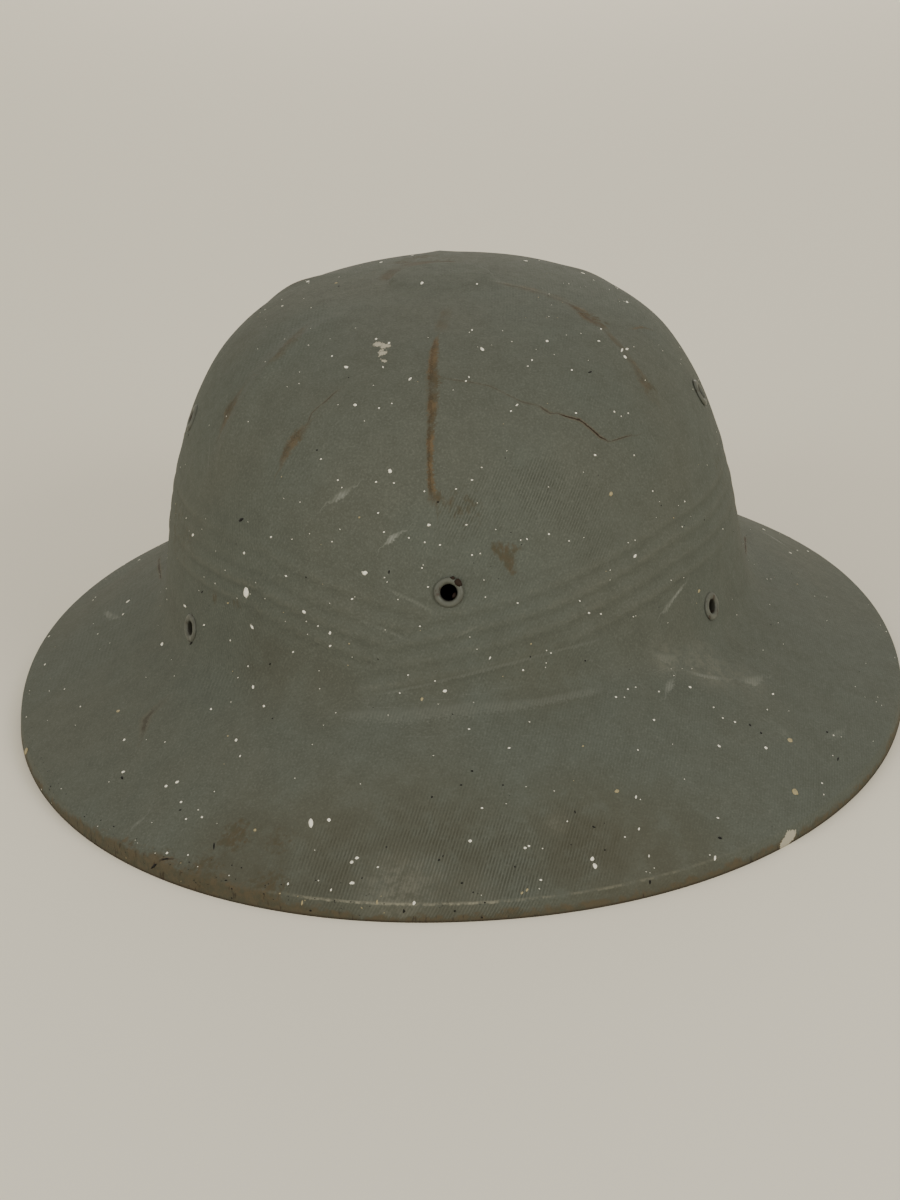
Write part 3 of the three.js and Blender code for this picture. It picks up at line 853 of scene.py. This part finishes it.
# real scuffs, and painted highlight along the fold edges
scuffPatch = ease(speckle, 0.38, 0.62, 0.1, 1.0)
scuffAndHighlightShare = times(mark["scuffAndHighlight"], scuffPatch)
colour = blend(scuffAndHighlightShare, colour, paintColours["scuffAndHighlight"])

centred = minus(speckle, 0.5)
lipTone = ease(speckle, 0.4, 0.62)
drawn = addNode(tree, "VectorMath", (where, (1.0, 1.0, 0.3)), operation="MULTIPLY")
streaks = addNode(tree, "TexNoise", noiseOf(paintSettings["streakSize"], 3.0, 0.6) | dict(Vector=drawn))
wornEdge = times(minus(streaks, 0.5), 1.8)
wornEdge = plus(wornEdge, centred)
wornEdge = plus(mark["worn"], wornEdge)
wornShare = ease(wornEdge, 0.2, 0.8, 0.0, 0.88)
wornStart = ease(mark["worn"], 0.02, 0.25)
wornShare = times(wornShare, wornStart)
rustShare = ease(mottle, 0.45, 0.65)
wornColour = blend(lipTone, paintColours["worn"], paintColours["grimeAndShade"])
colour = blend(wornShare, colour, wornColour)

rough = times(minus(grain, 0.5), 2.6)
wobble = plus(times(centred, 1.5), rough)
lineBreak = ease(mottle, 0.32, 0.55, 0.35, 1.0)
sides, shown = {}, {}
for kind in ("ridge", "crack", "rubAndHighlight"):
    sides[kind] = plus(mark[kind + "Side"], wobble)
    shown[kind] = times(mark[kind + "Mask"], lineBreak)

# rubbed streaks, pale on the tops of the ribs, and painted highlight along the fold crests, the band's lower
# edge and the fillet at the crown's foot
away = absolute(sides["rubAndHighlight"])
rubAndHighlightShare = ease(away, 1.5, 0.5)
rubAndHighlightShare = times(rubAndHighlightShare, shown["rubAndHighlight"])
rubTop = ease(ribs, -0.6, 0.5, 0.65, 1.0)
rubAndHighlightShare = times(rubAndHighlightShare, rubTop)
colour = blend(rubAndHighlightShare, colour, paintColours["rubAndHighlight"])

# ridges worn to brown, with a dark split along their left edge
away = absolute(sides["ridge"])
ridgeShare = ease(away, 1.7, 0.6)
ridgeShare = times(ridgeShare, shown["ridge"])
ridgeColour = blend(rustShare, paintColours["worn"], paintColours["rust"])
colour = blend(ridgeShare, colour, ridgeColour)
splitAway = plus(sides["ridge"], 0.5)
splitAway = absolute(splitAway)
splitShare = ease(splitAway, 0.55, 0.15, 0.0, 0.36)
splitShare = times(splitShare, shown["ridge"])
colour = blend(splitShare, colour, paintColours["bare"])

# cracks, near-black in a faint brown margin
away = absolute(sides["crack"])
marginShare = ease(away, 3.2, 1.0, 0.0, 0.5)
marginShare = times(marginShare, shown["crack"])
colour = blend(marginShare, colour, paintColours["rust"])
crackShare = ease(away, 1.2, 0.5)
crackShare = times(crackShare, shown["crack"])
colour = blend(crackShare, colour, paintColours["bare"])

# lip: brown up from its lower edge, painted shade along its very edge, and a pale line along its crease
rise = times(addNode(tree, "SeparateXYZ", (where,), "Z"), 1000.0)
ragged = times(minus(mottle, 0.5), 6.0)
ragged = plus(times(centred, 5.0), ragged)
ragged = plus(rise, ragged)
reach = addNode(tree, "MapRange", (mark["lipReach"], 0.0, 1.0, 1.9, 5.4))
above = minus(ragged, reach)
lipShare = ease(above, 0.9, -0.9, 0.0, 0.85)
lipColour = blend(lipTone, paintColours["lipBrown"], paintColours["grimeAndShade"])
lipPits = ease(streaks, 0.6, 0.68, 0.0, 0.75)
lipColour = blend(lipPits, lipColour, paintColours["bare"])
colour = blend(lipShare, colour, lipColour)
# painted shade: the lowest millimetre of the lip darkened to near-black
lipEdgeShade = ease(plus(rise, centred), 1.0, 0.1, 0.0, 0.55)
colour = blend(lipEdgeShade, colour, paintColours["bare"])
creaseAway = minus(rise, paintSettings["creaseHeight"])
creaseAway = plus(creaseAway, centred)
creaseAway = absolute(creaseAway)
creaseShare = ease(creaseAway, 0.36, 0.08, 0.0, 0.85)
creaseShare = times(creaseShare, mark["crease"])
creaseShare = times(creaseShare, lineBreak)
creaseShare = times(creaseShare, scuffPatch)
colour = blend(creaseShare, colour, paintColours["crease"])

tornEdge = plus(times(centred, 0.9), times(rough, 0.3))
tornEdge = plus(mark["torn"], tornEdge)
tornShare = ease(tornEdge, 0.5, 0.62)
colour = blend(tornShare, colour, paintColours["torn"])
tree.links.new(colour, shader.inputs["Base Color"])

height = times(times(ribs, ribShow), paintSettings["ribDepth"])
height = plus(height, times(grain, 0.22))
height = plus(height, times(speckle, 0.14))
height = minus(height, times(crackShare, 0.4))
height = minus(height, times(splitShare, 0.3))
bump = addNode(tree, "Bump", dict(Height=height, Strength=0.6, Distance=1.0 * mm))
tree.links.new(bump, shader.inputs["Normal"])
tree.links.new(ease(speckle, 0.3, 0.7, 0.74, 0.9), shader.inputs["Roughness"])
shader.inputs["IOR"].default_value = 1.47
shader.inputs["Specular IOR Level"].default_value = 0.25
pierced.materials.clear()
pierced.materials.append(paint)

# Steel eyelets under the same brushed paint: a little smoother, so the rolled edge catches the light
eyeletColours = dict(paint="#525449", shade="#4b4c41", chip="#3a2c1d", boreShade="#1e1710")
eyeletGrain = dict(wearSize=2.2, gritSize=0.7)
metal, tree, shader = newMaterial("painted rolled steel")
where = addNode(tree, "TexCoord", out="Object")
wear = addNode(tree, "TexNoise", noiseOf(eyeletGrain["wearSize"], 4.0))
grit = addNode(tree, "TexNoise", noiseOf(eyeletGrain["gritSize"], 2.0))
chipShare = ease(wear, 0.6, 0.66, 0.0, 0.8)
colour = blend(ease(wear, 0.4, 0.65), eyeletColours["paint"], eyeletColours["shade"])
colour = blend(chipShare, colour, eyeletColours["chip"])
# painted shade inside the bore
boreShade = addNode(tree, "Attribute", out="Fac", attribute_name="boreShade")
colour = blend(boreShade, colour, eyeletColours["boreShade"])
tree.links.new(colour, shader.inputs["Base Color"])
tree.links.new(ease(wear, 0.3, 0.7, 0.45, 0.65), shader.inputs["Roughness"])
bump = addNode(tree, "Bump", dict(Height=grit, Strength=0.4, Distance=0.12 * mm))
tree.links.new(bump, shader.inputs["Normal"])
for piece in eyeletPieces:
    piece.data.materials.append(metal)

# Flicked household paint, dried to low domes: chalky off-white and tan, with some near-black
dropColours = dict(white="#f4f0dc", tan="#a2956f", dust="#6a685a", rust="#2b1f15", dark="#100f0c")
dropPaint, tree, shader = newMaterial("dried paint drops")
where = addNode(tree, "TexCoord", out="Object")
dust = addNode(tree, "TexNoise", noiseOf(1.0, 3.0))
tone = addNode(tree, "Attribute", out="Fac", attribute_name="tone")
isTan = addNode(tree, "Math", (tone, 0.2), operation="GREATER_THAN")
isRust = addNode(tree, "Math", (tone, 0.5), operation="GREATER_THAN")
isDark = addNode(tree, "Math", (tone, 0.8), operation="GREATER_THAN")
colour = blend(isTan, dropColours["white"], dropColours["tan"])
colour = blend(ease(dust, 0.5, 0.72, 0.0, 0.38), colour, dropColours["dust"])
colour = blend(isRust, colour, dropColours["rust"])
colour = blend(isDark, colour, dropColours["dark"])
tree.links.new(colour, shader.inputs["Base Color"])
tree.links.new(ease(dust, 0.3, 0.7, 0.5, 0.75), shader.inputs["Roughness"])
shader.inputs["Specular IOR Level"].default_value = 0.2
dropPiece.data.materials.append(dropPaint)
print("materials ready")

# Floor and light
roomSettings = dict(floorSize=6, floor="#ece5d2", air="#f6f2e8", airStrength=0.64, aim=(0, 0, 0.06))
floorBm = bmesh.new()
bmesh.ops.create_grid(floorBm, x_segments=1, y_segments=1, size=roomSettings["floorSize"])
floorMesh = bpy.data.meshes.new("floor")
floorBm.to_mesh(floorMesh)
floorBm.free()
floor = bpy.data.objects.new("floor", floorMesh)
bpy.context.scene.collection.objects.link(floor)
floorPaint, tree, shader = newMaterial("matt white card")
shader.inputs["Base Color"].default_value = linearFrom(roomSettings["floor"])
shader.inputs["Roughness"].default_value = 0.9
floorMesh.materials.append(floorPaint)

Lamp = namedtuple("Lamp", "name place size power tint")
lamps = [
    Lamp("key", (1.3, -1.4, 0.95), 0.9, 18, "#ffffff"),
    Lamp("fill", (-1.4, -1.2, 0.9), 1.1, 13, "#ffffff"),
    Lamp("top", (0.0, 0.1, 1.9), 1.4, 4, "#fff8ec"),
    Lamp("back", (0.2, 1.8, 0.65), 1.2, 9, "#fff8ec"),
]
for row in lamps:
    data = bpy.data.lights.new(row.name, "AREA")
    data.size = row.size
    data.energy = row.power
    data.color = linearFrom(row.tint)[:3]
    lamp = bpy.data.objects.new(row.name, data)
    aim = Vector(roomSettings["aim"]) - Vector(row.place)
    lamp.matrix_world = Matrix.Translation(row.place) @ aim.to_track_quat("-Z", "Y").to_matrix().to_4x4()
    bpy.context.scene.collection.objects.link(lamp)
world = bpy.data.worlds.new("room")
world.use_nodes = True
air = world.node_tree.nodes["Background"]
air.inputs["Color"].default_value = linearFrom(roomSettings["air"])
air.inputs["Strength"].default_value = roomSettings["airStrength"]
bpy.context.scene.world = world

skin.free()
